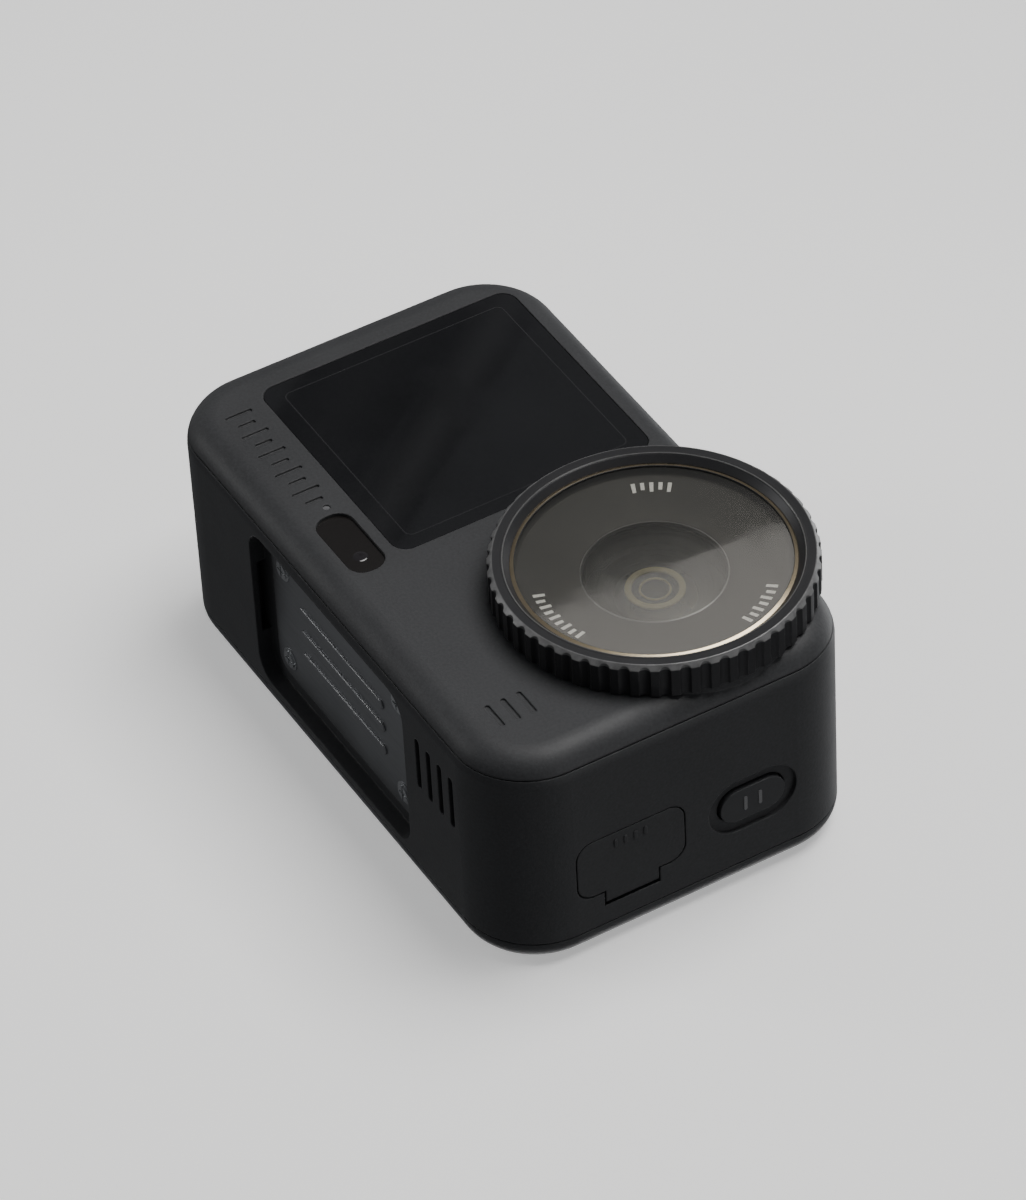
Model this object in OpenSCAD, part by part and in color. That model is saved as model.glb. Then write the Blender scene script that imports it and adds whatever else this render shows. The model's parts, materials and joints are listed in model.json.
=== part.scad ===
// Rugged action camera with a removable lens cover, in millimetres.
// +Z is up, the lens looks along -Y, and the origin is the centre of the bottom of the bounding box.
// "d" in a name or argument is the depth behind the flat front face, measured along +Y.

/* [Body] */
// Width of the body
body_w = 72.8; // [72.4:0.1:73.2]
// Height of the body beside the lens
body_h = 44.6; // [44.4:0.1:44.8]
// Depth of the body without the lens cover
body_d = 28.9; // [28.9:0.1:29.3]
// Corner radius in front view
corner_r = 8.7; // [8.5:0.1:8.9]
// Rounding of the front edge
front_fillet = 3.4; // [3.2:0.1:3.5]
// Rounding of the rear edge
rear_fillet = 2.8; // [2.6:0.1:2.9]
// Wall thickness
wall = 1.9; // [1.8:0.1:2]

/* [Lens] */
// Lens centre, to the right of the middle
lens_x = 18.7; // [18.5:0.1:18.7]
// Lens centre above the bottom
lens_z = 29.7; // [29.6:0.1:29.8]
// Outer radius of the lens cover ring
ring_r = 17.5; // [17.3:0.1:17.5]
// How far the lens cover stands proud of the front face
ring_proud = 4.2; // [4.2:0.1:4.4]
// Flutes round the lens cover ring
flutes = 52; // [40:2:56]

/* [Screens] */
// Width of the front screen glass
front_glass_w = 31.0; // [30.6:0.1:31]
// Height of the front screen glass
front_glass_h = 31.5; // [31:0.1:31.6]
// Width of the rear screen glass
rear_glass_w = 64; // [62:0.5:64.5]
// Height of the rear screen glass
rear_glass_h = 37.6; // [37:0.1:38]

/* [Moving parts] */
// Lift of the lens cover over its quarter turn
cover_lift = 4.2; // [4:0.1:4.4]
// Number of iris blades
blades = 6; // [6]

/* [Hidden] */
$fn = 64;

half_w = body_w / 2;
mid_z = body_h / 2;
front_y = -(body_d - ring_proud) / 2;

// Cover, frame and rear cover meet at these depths
front_seam = 2.2;
rear_seam = body_d - 3;
seam_gap = 0.15;
seam_depth = 0.35;

// Room inside the frame
cavity_x = half_w - wall;
cavity_bottom = 3.2;
cavity_top = body_h - wall;
cavity_r = 6.5;
lip_t = 1.0;
lip_d = 1.4;
fit_gap = 0.05;

// Front glass stands left of the lens, with a ledge behind it
front_glass_x0 = -31.0;
front_glass_z0 = 9.6;
glass_r = 1.9;
glass_t = 1.0;
glass_sink = 0.05;
panel_inset = 2;

// Lens stack
hump_r = 16.9;
hump_end_d = 14;
collar_r = 16.0;
collar_inner_r = 14.2;
collar_proud = 1.2;
spigot_r = 15.2;
bore_clear = 0.3;
barrel_r = 12.6;
dome_r = 7.7;
dome_rise = 0.8;
ring_base = 0.15;

// Glass, plate and retainer lie behind each other in a seat of the lens cover ring
seat_r = 15.65;
seat_opening_r = 15.1;
cover_glass_d = [0.9 - ring_proud, -2.4];
cover_plate_d = [-2.38, -2.1];
cover_retainer_d = [-2.1, -1.5];
// The plate is flat at its rim and dished inside it, down to its hole
plate_flat_r = 14.4;
plate_dish = 0.8;

// Bayonet pins of the lens cover run in three grooves of the collar
pin_count = 3;
pin_r = 0.35;
pin_tip_r = 15.6;
pin_d = -0.55;
groove_clear = 0.15;
groove_floor_r = 15.0;
groove_turn = 26;
lift_per_degree = cover_lift / 90;

// Iris, six blades on three levels
iris_open_r = 2.5;
iris_pivot_r = 4.6;
iris_pin_r = 0.25;
iris_hole_r = 0.31;
iris_wall_r = 6.35;
blade_w = 1.7;
blade_t = 0.12;
blade_level = 0.2;
blade_d = 3.86;
blade_sweep = 85;
drive_r = 5.75;
drive_pin_r = 0.2;
iris_ring_d = [3.38, 3.6];

// Side doors: an outline in depth and height, with the hinge axis at the rear edge
door_t = 1.2;
door_gap = 0.15;
knuckle_r = 0.7;
knuckle_room = 0.3;
door_pin_r = 0.35;
// A door stops this far in front of its hinge axis, except at the knuckle, so that it clears the wall
hinge_setback = 1.4;
hinge_gap = 0.22;
battery_door_d = [4.2, 22.7];
battery_door_z = [6.2, 38.4];
connector_door_d = [13.4, 22.5];
connector_door_z = [8.9, 21.9];

// Battery and its bay
battery_d = [5.7, 18.1];
battery_x = [-32.4, 3.2];
battery_z = [8.1, 36.5];

// Main board, and the screws that hold it to bosses in the corners of the frame
board_d = [21.7, 22.6];
boss_d = 19.3;
boss_r = 2.1;
screw_x = 29.6;
screw_z = [7.6, 38.9];
screw_r = 0.7;

// Quick-release recess in the bottom
recess_w = 33;
recess_d0 = 3.8;
recess_d1 = 25;
recess_depth = 1.8;

shutter_x = -20;
shutter_d = 15;
switch_z = 30.3;
switch_d = 17.5;

// ---------- helpers ----------

// Rounded rectangle between two corners
module round_rect(u0, v0, u1, v1, r) {
    translate([u0 + r, v0]) square([u1 - u0 - 2 * r, v1 - v0]);
    translate([u0, v0 + r]) square([u1 - u0, v1 - v0 - 2 * r]);
    for (u = [u0 + r, u1 - r], v = [v0 + r, v1 - r]) translate([u, v]) circle(r);
}

// Extrudes an (x, z) outline from depth d0 to d1
module slab(d0, d1) {
    translate([0, front_y + d1, 0]) rotate([90, 0, 0]) linear_extrude(d1 - d0) children();
}

// Extrudes a (d, z) outline from x0 to x1
module side_slab(x0, x1) {
    translate([x0, front_y, 0]) rotate([90, 0, 90]) linear_extrude(x1 - x0) children();
}

// Extrudes an (x, d) outline from z0 to z1
module top_slab(z0, z1) {
    translate([0, front_y, z0]) linear_extrude(z1 - z0) children();
}

// Block between two corners given as x, depth and height
module block(x, d, z) {
    translate([x[0], front_y + d[0], z[0]]) cube([x[1] - x[0], d[1] - d[0], z[1] - z[0]]);
}

// Puts children on the lens axis, with local +Z along depth and z = 0 at the front face
module on_lens() {
    translate([lens_x, front_y, lens_z]) rotate([-90, 0, 0]) children();
}

// Ring round the lens axis
module lens_ring(r_out, r_in, d0, d1) {
    on_lens() translate([0, 0, d0]) difference() {
        cylinder(r = r_out, h = d1 - d0);
        translate([0, 0, -1]) cylinder(r = r_in, h = d1 - d0 + 2);
    }
}

module lens_disc(r, d0, d1) {
    on_lens() translate([0, 0, d0]) cylinder(r = r, h = d1 - d0);
}

// Section of the body in depth, with its front and rear edges rounded
module edge_profile(half, inset) {
    front_r = front_fillet - inset;
    rear_r = rear_fillet - inset;
    mid_len = body_d - front_fillet - rear_fillet;
    translate([front_fillet, -half]) square([mid_len, 2 * half]);
    translate([inset, -(half - front_r)]) square([front_r, 2 * (half - front_r)]);
    translate([body_d - rear_fillet, -(half - rear_r)]) square([rear_r, 2 * (half - rear_r)]);
    for (s = [-1, 1]) {
        translate([front_fillet, s * (half - front_r)]) circle(front_r);
        translate([body_d - rear_fillet, s * (half - rear_r)]) circle(rear_r);
    }
}

// Whole body shape, moved inwards by inset
module pillow(inset = 0) {
    centre_x = half_w - corner_r;
    centre_z = mid_z - corner_r;
    translate([0, front_y, corner_r]) linear_extrude(2 * centre_z) rotate(90)
        edge_profile(half_w - inset, inset);
    for (s = [-1, 1]) translate([-centre_x, front_y, mid_z]) rotate([90, 0, 90])
        linear_extrude(2 * centre_x) intersection() {
            edge_profile(mid_z - inset, inset);
            translate([0, s > 0 ? centre_z : -centre_z - corner_r]) square([body_d, corner_r]);
        }
    for (corner = [[1, -1, 0], [-1, -1, 90], [-1, 1, 180], [1, 1, 270]])
        translate([corner[0] * centre_x, front_y, mid_z + corner[1] * centre_z])
            rotate([-90, 0, 0]) rotate(corner[2]) rotate_extrude(angle = 90) intersection() {
                mirror([1, -1]) edge_profile(corner_r - inset, inset);
                square([corner_r, body_d]);
            }
}

// Slice of the body between two depths
module pillow_slice(inset, d0, d1) {
    intersection() {
        pillow(inset);
        block([-half_w, half_w], [d0, d1], [0, body_h]);
    }
}

module cavity_outline(gap = 0) {
    round_rect(-cavity_x + gap, cavity_bottom + gap, cavity_x - gap, cavity_top - gap, cavity_r - gap);
}

// Locating lip that reaches from a cover into the frame
module cover_lip(d0, d1) {
    slab(d0, d1) difference() {
        cavity_outline(fit_gap);
        cavity_outline(fit_gap + lip_t);
    }
}

module front_glass_outline(gap = 0) {
    round_rect(front_glass_x0 - gap, front_glass_z0 - gap, front_glass_x0 + front_glass_w + gap,
        front_glass_z0 + front_glass_h + gap, max(glass_r + gap, 0.6));
}

module rear_glass_outline(gap = 0) {
    round_rect(-rear_glass_w / 2 - gap, mid_z - rear_glass_h / 2 - gap, rear_glass_w / 2 + gap,
        mid_z + rear_glass_h / 2 + gap, 4 + gap);
}

// Window below the front screen
module sensor_window_outline(gap = 0) {
    round_rect(-9.3 - gap, 3.9 - gap, 0.7 + gap, 8.2 + gap, 1.9 + gap);
}

// Pill with straight sides along u
module pill(cu, cv, length, width) {
    round_rect(cu - length / 2, cv - width / 2, cu + length / 2, cv + width / 2, width / 2 - 0.01);
}

// ---------- shell ----------

// Housing hump that carries the lens cover above the top edge
module hump() {
    on_lens() cylinder(r = hump_r, h = front_seam + 0.6);
    on_lens() translate([0, 0, front_seam + 0.6])
        cylinder(r1 = hump_r, r2 = body_h - lens_z, h = hump_end_d - front_seam - 0.6);
}

module front_cover() {
    color("#3c3e41") difference() {
        union() {
            pillow_slice(0, 0, front_seam);
            intersection() {
                hump();
                block([-half_w, half_w], [0, front_seam], [0, 50]);
            }
            cover_lip(front_seam, front_seam + lip_d);
        }
        slab(-1, glass_t + glass_sink) front_glass_outline(0.08);
        slab(0, front_seam + 2) front_glass_outline(-panel_inset);
        slab(-1, 1.2) sensor_window_outline(0.05);
        slab(0, front_seam + 2) sensor_window_outline(-1.1);
        on_lens() translate([0, 0, -1]) cylinder(r = spigot_r + fit_gap, h = 5);
        on_front(-10.6, 6.7) cylinder(r = 0.4, h = 3);
        grip_marks();
    }
}

// Cylinder-ready frame on the front face, with local +Z along depth
module on_front(x, z) {
    translate([x, front_y - 0.01, z]) rotate([-90, 0, 0]) children();
}

// Fine debossed bars under the screen and in the lower right corner
module grip_marks() {
    bar_count = 10;
    bar_pitch = 1.85;
    bar_depth = 0.22;
    for (i = [0 : bar_count - 1])
        slab(-1, bar_depth) pill_v(-28.9 + i * bar_pitch, 6.1, i % 2 == 0 ? 3.3 : 2.1, 0.5);
    for (i = [0 : 2]) slab(-1, bar_depth) pill(26.9, 5.4 + i * 1.9, 3.6, 0.6);
}

module mid_frame() {
    color("#37393c") difference() {
        union() {
            pillow_slice(0, front_seam + seam_gap, rear_seam - seam_gap);
            pillow_slice(seam_depth, front_seam, rear_seam);
            intersection() {
                hump();
                block([0, half_w], [front_seam, hump_end_d], [20, 50]);
            }
        }
        difference() {
            slab(front_seam - 1, rear_seam + 1) cavity_outline();
            screw_bosses();
        }
        at_screws(boss_d - 1) cylinder(r = screw_r + 0.02, h = board_d[1] - boss_d + 1);
        side_door_opening(-1, battery_door_d, battery_door_z);
        side_door_opening(1, connector_door_d, connector_door_z);
        // Quick-switch button: shallow dish and through hole
        side_slab(half_w - 0.5, half_w + 1) pill_v(switch_d, switch_z, 10.8, 7.2);
        side_slab(cavity_x - 2, half_w + 1) pill_v(switch_d, switch_z, 8.3, 4.7);
        // Shutter button: hole and seat for its bezel
        top_slab(cavity_top - 1, body_h + 1) pill(shutter_x, shutter_d, 13.0, 7.4);
        top_slab(body_h - 0.8, body_h + 1) pill(shutter_x, shutter_d, 15.4, 9.8);
        // Top microphone holes
        for (i = [-1 : 1]) translate([-4.5 + i * 2.2, front_y + shutter_d, cavity_top - 1])
            cylinder(r = 0.45, h = 4);
        // Speaker slots
        for (i = [0 : 3]) top_slab(-1, cavity_bottom + 1) pill_v(19.5 + i * 2.3, 10, 7, 0.9);
        quick_release_recess();
        // Pockets for the plate and the magnets behind the recess
        top_slab(recess_depth - 0.1, recess_depth + 0.5)
            round_rect(-15, recess_d0 + 1.5, 15, recess_d1 - 1.5, 2);
        for (x = [-9, 9]) translate([x, front_y + 14.4, recess_depth]) cylinder(r = 3.6, h = 1.3);
    }
}

// Pill with its length along v
module pill_v(cu, cv, length, width) {
    round_rect(cu - width / 2, cv - length / 2, cu + width / 2, cv + length / 2, width / 2 - 0.01);
}

// Recess with a side notch at each end for the claws of a clip
module quick_release_recess() {
    top_slab(-1, recess_depth) round_rect(-recess_w / 2, recess_d0, recess_w / 2, recess_d1, 3);
    for (s = [-1, 1])
        block([s * recess_w / 2 - 1.9, s * recess_w / 2 + 1.9], [9.4, 19.4], [0.7, recess_depth]);
}

// Door rebate, opening and hinge room in a side wall; side is -1 or 1
module side_door_opening(side, d, z) {
    mirror([side > 0 ? 1 : 0, 0, 0]) {
        side_slab(-half_w - 1, -half_w + door_t + 0.1)
            round_rect(d[0] - door_gap, z[0] - door_gap,
                d[1] - hinge_setback + hinge_gap, z[1] + door_gap, 2.1);
        side_slab(-half_w - 1, -cavity_x + 4)
            round_rect(d[0] + 1.1, z[0] + 1.1, d[1] - 1.6, z[1] - 1.1, 2.0);
        translate([-half_w + knuckle_r, front_y + d[1], z[0] + 3.1])
            cylinder(r = knuckle_r + knuckle_room, h = z[1] - z[0] - 6.2);
        translate([-half_w + knuckle_r, front_y + d[1], z[0] + 1.6])
            cylinder(r = door_pin_r, h = z[1] - z[0] - 3.2);
        // Room for the knuckle in front of the axis
        block([-half_w - 1, -half_w + 2 * knuckle_r + 0.2], [d[1] - 2, d[1]], [z[0] + 3.1, z[1] - 3.1]);
    }
}

// Door that follows the outside of the body, with a hinge knuckle at its rear edge
module side_door(side, d, z) {
    mirror([side > 0 ? 1 : 0, 0, 0]) difference() {
        union() {
            intersection() {
                pillow(0);
                side_slab(-half_w - 1, -half_w + door_t)
                    round_rect(d[0], z[0], d[1] - hinge_setback, z[1], 2);
            }
            translate([-half_w + knuckle_r, front_y + d[1], z[0] + 3.3])
                cylinder(r = knuckle_r, h = z[1] - z[0] - 6.6);
            block([-half_w, -half_w + door_t], [d[1] - 1.9, d[1]], [z[0] + 3.3, z[1] - 3.3]);
        }
        translate([-half_w + knuckle_r, front_y + d[1], 0]) cylinder(r = door_pin_r + 0.05, h = body_h);
    }
}

// Rubber ring behind a door, inside the opening
module side_seal(side, d, z) {
    mirror([side > 0 ? 1 : 0, 0, 0]) side_slab(-half_w + door_t, -half_w + door_t + 0.8) difference() {
        round_rect(d[0] + 1.4, z[0] + 1.4, d[1] - 2.1, z[1] - 1.4, 1.8);
        round_rect(d[0] + 2.2, z[0] + 2.2, d[1] - 2.9, z[1] - 2.2, 1.0);
    }
}

module side_pin(side, d, z) {
    mirror([side > 0 ? 1 : 0, 0, 0]) translate([-half_w + knuckle_r, front_y + d[1], z[0] + 1.6])
        cylinder(r = door_pin_r, h = z[1] - z[0] - 3.2);
}

module rear_cover() {
    color("#37393c") difference() {
        union() {
            pillow_slice(0, rear_seam, body_d);
            cover_lip(rear_seam - lip_d, rear_seam);
        }
        slab(body_d - glass_t - glass_sink, body_d + 1) rear_glass_outline(0.08);
        slab(rear_seam - 3, body_d + 1) rear_glass_outline(-1.6);
    }
}

// Places children at the four screw positions, with local +Z along depth
module at_screws(d) {
    for (x = [-screw_x, screw_x], z = screw_z) translate([x, front_y + d, z]) rotate([-90, 0, 0]) children();
}

// Four screws that hold the main board to the bosses of the frame
module board_screws() {
    color("#8f9296") {
        at_screws(board_d[1]) cylinder(r = 1.25, h = 0.8);
        at_screws(boss_d + 0.3) cylinder(r = screw_r, h = board_d[1] - boss_d - 0.3);
    }
}

// Bosses in the corners of the frame, each with a rib to the nearest wall
module screw_bosses() {
    at_screws(boss_d) cylinder(r = boss_r, h = board_d[0] - boss_d);
    for (x = [-screw_x, screw_x]) {
        block([x - 0.8, x + 0.8], [boss_d, board_d[0]], [cavity_bottom - 0.6, screw_z[0]]);
        block([x - 0.8, x + 0.8], [boss_d, board_d[0]], [screw_z[1], cavity_top + 0.5]);
    }
}

// ---------- front ----------

module front_screen_glass() {
    color("#16171a") slab(glass_sink, glass_sink + glass_t) front_glass_outline();
}

module front_display_panel() {
    color("#202124") slab(glass_sink + glass_t, 2.9) front_glass_outline(-panel_inset - 0.1);
}

module sensor_window() {
    color("#2c2624") slab(0.35, 1.2) sensor_window_outline();
}

module light_sensor() {
    color("#4a4c50") block([-6.6, -2.0], [1.2, 2.1], [5.2, 6.9]);
}

module status_light() {
    color("#7d8083") on_front(-10.6, 6.7) translate([0, 0, 0.15]) cylinder(r = 0.4, h = 2.3);
}

// ---------- rear ----------

module rear_screen_glass() {
    color("#16171a") slab(body_d - glass_t - glass_sink, body_d - glass_sink) rear_glass_outline();
}

module rear_display_panel() {
    color("#202124") slab(rear_seam + 0.2, body_d - glass_t - glass_sink)
        round_rect(-29, mid_z - 17, 29, mid_z + 17, 2);
}

// ---------- lens ----------

// Groove that lets one bayonet pin climb out of the collar
module bayonet_groove() {
    mid_turn = groove_turn / 2;
    width = 2 * (pin_r + groove_clear);
    arc = groove_turn * PI / 180 * collar_r;
    slope = atan(cover_lift / (PI / 2 * collar_r));
    rotate(-mid_turn) translate([groove_floor_r, 0, pin_d - mid_turn * lift_per_degree])
        rotate([slope, 0, 0]) translate([0, -arc / 2 - 1.2, -width / 2])
            cube([2, arc + 1.2 + width / 2, width]);
}

module lens_mount() {
    color("#1b1c1e") difference() {
        union() {
            lens_disc(collar_r, -collar_proud, 0);
            lens_disc(spigot_r, 0, front_seam);
        }
        lens_disc(collar_inner_r, -collar_proud - 1, 5);
        for (i = [0 : pin_count - 1]) on_lens() rotate(i * 360 / pin_count - 90) bayonet_groove();
    }
}

module lens_barrel() {
    color("#232427") on_lens() difference() {
        union() {
            translate([0, 0, -0.75]) cylinder(r = 14.1, h = 1.2);
            cylinder(r = barrel_r, h = 12.9);
            for (a = [45, 135, 225, 315]) rotate(a) translate([12.4, 0, 11.4]) cylinder(r = 1.4, h = 1.5);
        }
        translate([0, 0, -1]) cylinder(r = dome_r + 0.05, h = 3);
        translate([0, 0, -1]) cylinder(r = 6.8, h = 7.3);
        translate([0, 0, -1]) cylinder(r = 8, h = 0.25);
        translate([0, 0, 6.2]) cylinder(r = 8.6, h = 8);
    }
}

// Dome-shaped front element
module front_lens() {
    ball_r = (dome_r * dome_r + dome_rise * dome_rise) / (2 * dome_rise);
    color("#5b5f66") on_lens() intersection() {
        translate([0, 0, -1.7]) cylinder(r = dome_r, h = 2.3);
        translate([0, 0, -1.6 + ball_r]) sphere(ball_r, $fn = 128);
    }
}

module front_lens_ring() {
    color("#26272a") lens_ring(8.6, dome_r + 0.1, -0.95, -0.75);
}

module second_lens() {
    color("#6d6f78") lens_disc(6.75, 2.05, 3.1);
}

// Carrier of the blade pivots, with one pivot pin per blade
module iris_housing() {
    color("#2a2b2d") {
        lens_ring(6.75, iris_wall_r, 3.2, 5.4);
        lens_ring(iris_wall_r + 0.05, 2.9, 4.6, 5.4);
        on_lens() for (i = [0 : blades - 1]) rotate(i * 360 / blades) translate([iris_pivot_r, 0, 3.75])
            cylinder(r = iris_pin_r, h = 0.9);
    }
}

// Actuator ring with a notch in its edge for the drive pin of each blade
module iris_ring() {
    notch_w = 2 * drive_pin_r + 0.2;
    color("#b79a63") difference() {
        lens_ring(iris_wall_r - 0.1, 2.7, iris_ring_d[0], iris_ring_d[1]);
        on_lens() for (i = [0 : blades - 1]) rotate(i * 360 / blades)
            translate([drive_r - drive_pin_r - 0.15, -notch_w / 2, 3]) cube([2, notch_w, 1]);
    }
}

// One iris blade: a curved strip with a pivot eye and a drive pin at its outer end
module iris_blade(index) {
    level = blade_d + (index % 3) * blade_level;
    pin_start = iris_ring_d[0] + 0.04;
    color("#0f1011") on_lens() rotate(index * 360 / blades) difference() {
        union() {
            translate([0, 0, level]) rotate_extrude(angle = -blade_sweep)
                translate([iris_open_r, 0]) square([blade_w, blade_t]);
            translate([iris_pivot_r, 0, level]) cylinder(r = 0.65, h = blade_t);
            translate([iris_pivot_r, -0.3, level]) cube([drive_r - iris_pivot_r, 0.6, blade_t]);
            translate([drive_r, 0, level]) cylinder(r = 0.3, h = blade_t);
            translate([drive_r, 0, pin_start]) cylinder(r = drive_pin_r, h = level - pin_start + 0.05);
        }
        translate([iris_pivot_r, 0, 3]) cylinder(r = iris_hole_r, h = 3);
    }
}

module iris_motor() {
    color("#77797d") block([lens_x - 4, lens_x + 4], [6.2, 10.4],
        [lens_z - barrel_r - 3.6, lens_z - barrel_r - 0.05]);
}

module rear_lens_group() {
    color("#6d6f78") {
        lens_disc(8.55, 6.3, 9.2);
        lens_disc(6.2, 9.2, 11.2);
    }
}

module infrared_filter() {
    color("#7c9aa0") block([lens_x - 7.5, lens_x + 7.5], [12.9, 13.3], [lens_z - 7.5, lens_z + 7.5]);
}

module image_sensor() {
    color("#54406b") block([lens_x - 8.5, lens_x + 8.5], [13.3, 14.7], [lens_z - 8.5, lens_z + 8.5]);
}

module sensor_board() {
    color("#1f5b3a") block([lens_x - 10, lens_x + 10], [14.7, 15.7], [lens_z - 9.8, lens_z + 9.8]);
}

// ---------- lens cover ----------

module lens_cover_ring() {
    flute_r = 0.75;
    color("#1d1e20") on_lens() {
        difference() {
            rotate_extrude($fn = 128) polygon([
                [collar_r + bore_clear, -ring_base], [ring_r, -ring_base], [ring_r, 0.55 - ring_proud],
                [ring_r - 0.5, -ring_proud], [15.95, -ring_proud], [15.75, 0.12 - ring_proud],
                [seat_opening_r, cover_glass_d[0] - 0.1], [seat_opening_r, cover_glass_d[0]],
                [seat_r, cover_glass_d[0]],
                [seat_r, cover_retainer_d[1]], [collar_r + bore_clear, cover_retainer_d[1]]
            ]);
            for (i = [0 : flutes - 1]) rotate(i * 360 / flutes)
                translate([ring_r + flute_r - 0.32, 0, -ring_proud - 1])
                    cylinder(r = flute_r, h = ring_proud + 2, $fn = 24);
        }
        for (i = [0 : pin_count - 1]) rotate(i * 360 / pin_count - 90) translate([pin_tip_r, 0, pin_d])
            rotate([0, 90, 0]) cylinder(r = pin_r, h = collar_r + bore_clear + 0.2 - pin_tip_r, $fn = 32);
    }
}

module lens_cover_glass() {
    color("#8d9398") lens_disc(seat_r - fit_gap, cover_glass_d[0], cover_glass_d[1]);
}

// Dished masking plate behind the glass, open over the front lens
module lens_cover_plate() {
    rim_r = seat_r - fit_gap;
    color("#4a4744") on_lens() rotate_extrude() polygon([
        [rim_r, cover_plate_d[0]], [rim_r, cover_plate_d[1]], [plate_flat_r, cover_plate_d[1]],
        [dome_r, cover_plate_d[1] + plate_dish], [dome_r, cover_plate_d[0] + plate_dish],
        [plate_flat_r, cover_plate_d[0]]
    ]);
}

module lens_cover_retainer() {
    color("#17181a") lens_ring(seat_r - 0.03, 14.5, cover_retainer_d[0], cover_retainer_d[1]);
}

module lens_cover_seal() {
    color("#0c0c0d") lens_ring(15.9, 14.6, -1.46, -1.22);
}

// ---------- electronics ----------

module main_board() {
    color("#1f5b3a") slab(board_d[0], board_d[1]) difference() {
        round_rect(-33, 5, 33, 41, 4);
        for (x = [-screw_x, screw_x], z = screw_z) translate([x, z]) circle(screw_r + 0.05);
        translate([-36, 3]) square([4.5, 40]);
        translate([31.5, 3]) square([4, 20]);
    }
}

module processor_shield() {
    color("#a9abae") block([9, 27], [19.2, board_d[0]], [22, 40]);
}

module heat_spreader() {
    color("#b87345") slab(board_d[1], board_d[1] + 0.6) round_rect(-30, 9, 30, 37.5, 2);
}

module battery_bay() {
    bay_wall = 0.8;
    slack = 0.25;
    color("#2e3033") difference() {
        block([-cavity_x + 0.62, battery_x[1] + 0.9 + bay_wall],
            [battery_d[0] - slack - bay_wall, battery_d[1] + slack + bay_wall],
            [battery_z[0] - slack - bay_wall, battery_z[1] + slack + bay_wall]);
        block([-half_w, battery_x[1] + 0.9],
            [battery_d[0] - slack, battery_d[1] + slack], [battery_z[0] - slack, battery_z[1] + slack]);
    }
}

module battery() {
    color("#26282b") side_slab(battery_x[0], battery_x[1])
        round_rect(battery_d[0], battery_z[0], battery_d[1], battery_z[1], 1.5);
}

module battery_contacts() {
    color("#c8a24a") for (i = [0 : 3])
        block([battery_x[1], battery_x[1] + 0.9], [9.6, 14.2], [14 + i * 2.6, 15.4 + i * 2.6]);
}

module memory_card_slot() {
    color("#9fa2a6") difference() {
        block([-31.4, -16.5], [19.5, board_d[0]], [11.2, 24.2]);
        block([-32, -17.3], [20.0, 21.2], [12.1, 23.3]);
    }
}

module memory_card() {
    color("#202226") side_slab(-32.9, -17.9) round_rect(20.1, 12.2, 21.1, 23.2, 0.2);
}

module battery_door() {
    color("#3a3c3f") difference() {
        side_door(-1, battery_door_d, battery_door_z);
        side_slab(-half_w - 1, -half_w + 0.75) round_rect(6.2, 16.6, 10.6, 28.6, 1);
    }
}

module battery_door_seal() {
    color("#b9552a") side_seal(-1, battery_door_d, battery_door_z);
}

module battery_door_pin() {
    color("#b4b6b8") side_pin(-1, battery_door_d, battery_door_z);
}

// Thumb slider of the battery door, with three ribs
module battery_door_latch() {
    color("#2b2c2e") difference() {
        side_slab(-half_w + 0.05, -half_w + 0.65) round_rect(6.35, 16.75, 10.45, 25.75, 0.9);
        for (i = [-1 : 1]) side_slab(-half_w - 0.5, -half_w + 0.25) pill(8.4, 21.25 + i * 1.3, 2.8, 0.5);
    }
}

module connector_socket() {
    color("#c4c6c8") side_slab(26.5, 34.2) difference() {
        pill_v(17.6, 15.4, 9.0, 3.2);
        pill_v(17.6, 15.4, 8.4, 2.6);
    }
    color("#101112") side_slab(26.5, 33.0) pill_v(17.6, 15.4, 6.9, 0.7);
    color("#101112") side_slab(26.5, 27.6) pill_v(17.6, 15.4, 8.6, 2.8);
}

module connector_board() {
    color("#1f5b3a") block([24.5, 32.5], [19.2, 20.0], [9.9, 21.0]);
}

module connector_door() {
    color("#3a3c3f") side_door(1, connector_door_d, connector_door_z);
}

module connector_door_seal() {
    color("#8b3f22") side_seal(1, connector_door_d, connector_door_z);
}

module connector_door_pin() {
    color("#b4b6b8") side_pin(1, connector_door_d, connector_door_z);
}

// ---------- buttons ----------

module switch_button() {
    color("#3f4144") {
        side_slab(cavity_x + 0.1, half_w) pill_v(switch_d, switch_z, 7.9, 4.3);
        side_slab(cavity_x - 0.9, cavity_x - 0.2) pill_v(switch_d, switch_z, 9.4, 5.8);
        side_slab(cavity_x - 0.2, cavity_x + 0.1) pill_v(switch_d, switch_z, 7.9, 4.3);
        side_slab(cavity_x - 1.6, cavity_x - 0.9) pill_v(switch_d, switch_z, 2.6, 1.6);
    }
}

module switch_contact() {
    color("#a9abae") block([30.2, 32.0], [15.9, 19.1], [28.2, 32.4]);
}

module shutter_button() {
    color("#46484b") {
        top_slab(cavity_top - 0.2, body_h + 0.8) pill(shutter_x, shutter_d, 12.6, 7.0);
        top_slab(cavity_top - 0.9, cavity_top - 0.2) pill(shutter_x, shutter_d, 13.8, 8.2);
        top_slab(cavity_top - 1.6, cavity_top - 0.9) pill(shutter_x, shutter_d, 3.0, 2.9);
    }
}

module shutter_bezel() {
    color("#a3282b") top_slab(body_h - 0.8, body_h + 0.1) difference() {
        pill(shutter_x, shutter_d, 15.4, 9.8);
        pill(shutter_x, shutter_d, 13.2, 7.6);
    }
}

module shutter_contact() {
    color("#a9abae") block([shutter_x - 2.6, shutter_x + 2.6], [13.0, 17.0], [37.55, cavity_top - 2.5]);
}

// ---------- sound and bottom ----------

module speaker() {
    color("#1a1b1d") block([17.2, 27.9], [5.0, 15.0], [cavity_bottom, 6.8]);
}

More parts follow.
